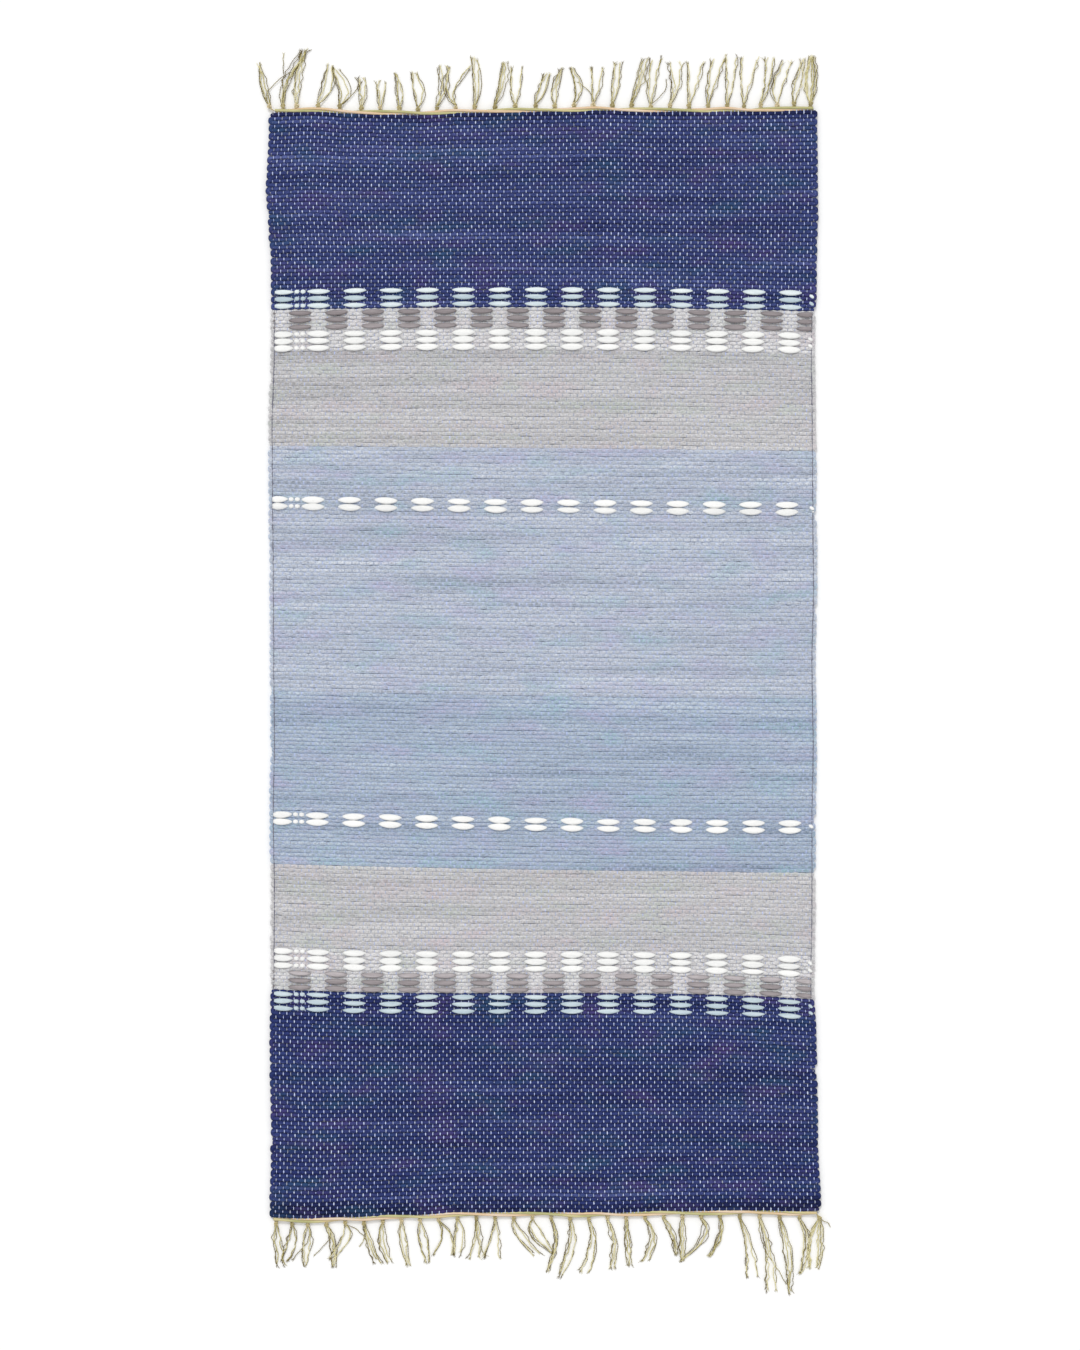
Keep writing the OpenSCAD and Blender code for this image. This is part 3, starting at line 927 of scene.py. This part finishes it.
def knot_row(name, node, y, drift, size):
    """A row of knots, each with the necks of the threads tied in it."""
    yarns = Yarns()
    for i in range(TASSELS):
        big = BIG_KNOT if name.startswith("near") and i == TASSELS - 1 else 1.0
        r = size * big * (1 + 0.07 * rng.normal())
        centre = np.array([knot_x(i, drift), y + 0.5 * rng.normal(), 1.02 * r])
        overhand(yarns, centre, r, rng.uniform(0, 6.28))
        blob = np.linspace(-1, 1, 9)
        round_off = np.sqrt(1 - 0.96 * blob**2)
        line = centre + np.column_stack([0 * blob, blob * r * 0.95, 0 * blob])
        side, up = flat_frame(line)
        radius = 0.62 * r * round_off
        # 0.4 is painted shade on the body of the knot.
        yarns.tube(line, side, up, radius, radius, radius, 0.3, 0.4, 8)
        inward = -1 if y > 0 else 1
        for k in range(PER_TASSEL):
            spread = k - (PER_TASSEL - 1) / 2
            t = np.linspace(0, 1, 6)[:, None]
            root_x = np.clip(centre[0] + 1.5 * spread, 6 - HALF_W, HALF_W - 6)
            root = np.array([root_x, y + inward * 5.0, 3.2])
            mouth = centre + np.array([0.7 * spread, inward * 0.6 * r, 0])
            neck = root * (1 - t) + mouth * t
            side, up = flat_frame(neck)
            # 0.1 is painted shade on the necks.
            yarns.tube(neck, side, up, NECK_R, NECK_R, NECK_R, rng.uniform(0, 1), 0.1, 5)
    return yarns.build(name, MATERIALS["knot_yarn"], [node])


far_knots = knot_row("far_knot_row", "far_knots", FAR_KNOT_Y, FAR_DRIFT, FAR_KNOT_SIZE)
near_knots = knot_row("near_knot_row", "near_knots", NEAR_KNOT_Y, NEAR_DRIFT, NEAR_KNOT_SIZE)


# ------------------------------------------------------------------- tassels

# Each tassel from the left: how far its tip leans, its reach, how far its
# middle bows out, how wide its tip forks and how wide its middle opens.
FAR_LOCKS = [
    (-13, 57, -3, 0, 6), (27, 72, -5, 6, 2), (9, 70, -2, 3, 4), (15, 54, 6, 5, 9),
    (-5, 50, 7, 7, 12), (0, 40, 1, 8, 3), (2, 34, 0, 8, 4), (-4, 45, 2, 2, 4),
    (-5, 46, 2, 7, 9), (8, 54, 5, 10, 3), (4, 52, -8, 26, 3), (0, 64, 3, 6, 5),
    (12, 56, 3, 4, 3), (2, 50, -1, 12, 5), (14, 42, 2, 7, 5), (8, 48, -3, 3, 5),
    (-3, 48, 7, 4, 5), (5, 48, 2, 14, 3), (7, 55, 1, 8, 3), (17, 62, 3, 5, 2),
    (6, 64, -1, 13, 4), (7, 56, 5, 17, 2), (9, 56, 1, 20, 2), (12, 59, 0, 15, 3),
    (5, 65, 1, 13, 3), (7, 62, 0, 20, 3), (12, 60, 5, 10, 2), (12, 57, -4, 10, 9),
    (12, 59, 0, 4, 6), (2, 62, 0, 5, 12),
]
NEAR_LOCKS = [
    (5, 56, 0, 8, 3), (-9, 50, 2, 8, 6), (-4, 54, 0, 1, 9), (9, 56, 5, 3, 4),
    (-18, 45, 6, 6, 9), (17, 53, 0, 8, 1), (7, 53, -4, 4, 5), (8, 59, -1, 2, 6),
    (9, 54, 0, 4, 8), (5, 46, 8, 24, 1), (-1, 48, 2, 6, 8), (-3, 52, 3, 11, 1),
    (-4, 52, 1, 20, 1), (29, 48, -2, 9, 5), (25, 46, -3, 3, 10), (-4, 69, 7, 1, 1),
    (-12, 78, 6, 3, 5), (-5, 71, 7, 9, 2), (6, 65, 6, 4, 1), (4, 63, 0, 1, 3),
    (2, 56, 8, 9, 2), (15, 50, 5, 1, 3), (0, 57, -1, 2, 3), (-24, 57, 12, 1, 1),
    (-13, 52, 5, 2, 2), (15, 78, 5, 13, 1), (14, 97, 6, 12, 2), (13, 103, 6, 3, 7),
    (2, 74, 8, 2, 5), (-6, 66, -2, 12, 12),
]
# Single strands that left their tassel: its place, lean, reach and bow.
STRAYS = {
    "far": [
        (1, 1, 68, 0), (0, 24, 44, -10), (4, 28, 34, 6), (17, -18, 30, 4),
        (20, 20, 34, 8),
    ],
    "near": [
        (2, -20, 46, 6), (3, -16, 40, 10), (4, 20, 30, 14), (11, 12, 50, -4),
        (14, 6, 34, -8), (26, 34, 86, -6), (28, 8, 52, 10), (29, 14, 12, 4),
    ],
}
STRAND_R = 0.4
STRAND_PITCH = 6.5
# Strand thicknesses as shares of STRAND_R: dark ones, which paint the shade
# along the sides of the locks, pale and stray ones.
SHADE_STRAND_THICK, PALE_THICK, STRAY_THICK = 0.72, 1.12, 0.8
STRAY_TONE = 0.25
FRAYED_FIBRES = 4
ROOT_SPREAD = 1.5
EXTRA_STRANDS = 5


def strand(yarns, line, tone, thick):
    """One fringe strand of two twisted plies, with a frayed tip."""
    plies = (np.clip(tone + 0.1, 0, 1), np.clip(tone - 0.15, 0, 1))
    turn = rng.uniform(0, 6.28)
    twisted(yarns, line, STRAND_R * thick, STRAND_PITCH, plies, 5, turn)
    end, before = line[-1], line[-4]
    ahead = unit(end - before)
    for _ in range(FRAYED_FIBRES):
        t = np.linspace(0, 1, 4)
        spread = rng.normal(0, 1.3, 2)
        reach = rng.uniform(2, 5)
        tip = ahead * reach + np.array([spread[0], spread[1] * 0.4, 0])
        fibre = end - ahead * 1.0 + t[:, None] * tip
        fibre[:, 0] += np.sin(t * 3) * rng.normal(0, 0.6)
        fibre[:, 2] = np.maximum(0.3, fibre[:, 2] * (1 - 0.7 * t))
        side, up = flat_frame(fibre)
        radius = 0.26 * (1 - 0.6 * t)
        yarns.tube(fibre, side, up, radius, radius, radius, tone, 0.0, 4)


def strand_line(start, lean, reach, bow, belly, direction, level):
    """The path of a strand over the floor, from its knot to its tip."""
    n = int(max(reach, 20) / 1.25)
    t = np.linspace(0, 1, n)
    swing = np.sin(np.pi * t**0.85)
    crimp = wander(n, max(4, n // 4), 0.9) * np.minimum(1, 4 * t)
    x = start[0] + lean * t**1.3 + bow * swing + belly * swing + crimp
    y = start[1] + direction * (reach - 3) * t + wander(n, 6, 0.3) * t
    z = 0.95 + level * (0.5 + 0.5 * np.cos(5 * np.pi * t + 3 * belly)) * (1 - 0.6 * t)
    z += (start[2] - z[0]) * np.exp(-t * reach / 5)
    return np.column_stack([x, y, z])


def tassel_row(name, node, y, drift, locks, direction, size):
    """A row of tassels, each in two locks, with the stray strands among them.
    The last tassel is the thickest."""
    yarns = Yarns()
    for i, (lean, reach, bow, fork, belly) in enumerate(locks):
        root = np.array([knot_x(i, drift), y + direction * size * 0.8, size])
        count = PER_TASSEL + (EXTRA_STRANDS if i == TASSELS - 1 else 0)
        for k in range(count):
            across = 2 * k / (count - 1) - 1
            branch = -0.5 if k < count / 2 - 0.25 else 0.5
            beside = 1.5 * (k % 2 - 0.5 if branch < 0 else k - count + 2)
            tip = lean + fork * branch + 0.6 * beside + rng.normal(0, 0.5)
            start = root + np.array([across * ROOT_SPREAD, 0, 0.4 * rng.normal()])
            length = reach * (1 - abs(rng.normal(0, 0.045)))
            line = strand_line(
                start,
                tip - across * ROOT_SPREAD,
                length,
                bow * (1 + 0.15 * rng.normal()),
                0.85 * belly * branch + beside + 0.2 * rng.normal(),
                direction,
                1.5 * (k % 2) + 0.5 * rng.uniform(),
            )
            # Dark strands at the sides of each lock: painted shade along its edges.
            shade_dark = k in (0, count - 3, count - 1)
            tone = 0.1 * rng.uniform() if shade_dark else rng.uniform(0.6, 1)
            strand(yarns, line, tone, SHADE_STRAND_THICK if shade_dark else PALE_THICK)
    for i, lean, reach, bow in STRAYS[name.split("_")[0]]:
        root = np.array([knot_x(i, drift), y + direction * size * 0.6, size])
        line = strand_line(root, lean, reach, bow, 0, direction, 1.6)
        strand(yarns, line, STRAY_TONE, STRAY_THICK)
    return yarns.build(name, MATERIALS["fringe_yarn"], [node])


far_tassels = tassel_row(
    "far_tassel_strands", "far_tassels", FAR_KNOT_Y, FAR_DRIFT, FAR_LOCKS, 1, 3.2
)
near_tassels = tassel_row(
    "near_tassel_strands", "near_tassels", NEAR_KNOT_Y, NEAR_DRIFT, NEAR_LOCKS, -1, 2.7
)


# -------------------------------------------------------------- sheet of cloth

on_the_cloth = {piece.name: [] for piece, _ in weft_pieces}
for strip, kind, _, pattern, _ in RUNS:
    if kind == "rows":
        on_the_cloth[f"{strip}_picks_1"].append(row_pieces[pattern])
on_the_cloth["far_navy_weft_picks_1"] += [far_cord, far_knots, far_tassels]
on_the_cloth["near_navy_weft_picks_1"] += [near_cord, near_knots, near_tassels]
on_the_cloth["middle_light_blue_weft_picks_1"] += [*warp_pieces, selvedge]


# --------------------------------------------------------- floor, light, view

FLOOR_SIZE = 60
FLOOR_DROP = 0.0004
DAYLIGHT = 0.8
SUN_ENERGY = 1.1
SUN_SPREAD = math.radians(14)
SUN_TURN = (math.radians(-38), math.radians(-12), 0)

bpy.ops.mesh.primitive_plane_add(size=FLOOR_SIZE, location=(0, 0, -FLOOR_DROP))
floor = bpy.context.object
floor.name = "floor"
paper = bpy.data.materials.new("paper_floor")
paper.use_nodes = True
paper_shader = paper.node_tree.nodes["Principled BSDF"]
paper_shader.inputs["Base Color"].default_value = rgb(254, 254, 254)
paper_shader.inputs["Roughness"].default_value = 0.95
floor.data.materials.append(paper)

world = bpy.data.worlds.new("soft_daylight")
world.use_nodes = True
sky = world.node_tree.nodes["Background"]
sky.inputs["Color"].default_value = (1, 1, 1, 1)
sky.inputs["Strength"].default_value = DAYLIGHT
bpy.context.scene.world = world

sun_data = bpy.data.lights.new("window_light", "SUN")
sun_data.energy = SUN_ENERGY
sun_data.angle = SUN_SPREAD
sun = bpy.data.objects.new("window_light", sun_data)
sun.rotation_euler = SUN_TURN
bpy.context.scene.collection.objects.link(sun)

# Height of the field of view, and the point that the camera looks down on.
VIEW_HEIGHT = 1.732
VIEW_CENTRE = (-0.0041, -0.0034)
camera_data = bpy.data.cameras.new("overhead")
camera_data.lens = 70
camera_data.sensor_width = 36
camera_data.clip_end = 40
distance = VIEW_HEIGHT / 2 / (camera_data.sensor_width / 2 / camera_data.lens)
camera = bpy.data.objects.new("overhead", camera_data)
camera.location = (*VIEW_CENTRE, distance)
bpy.context.scene.collection.objects.link(camera)
bpy.context.scene.camera = camera

bpy.context.scene.view_settings.view_transform = "Standard"
bpy.context.scene.view_settings.look = "None"
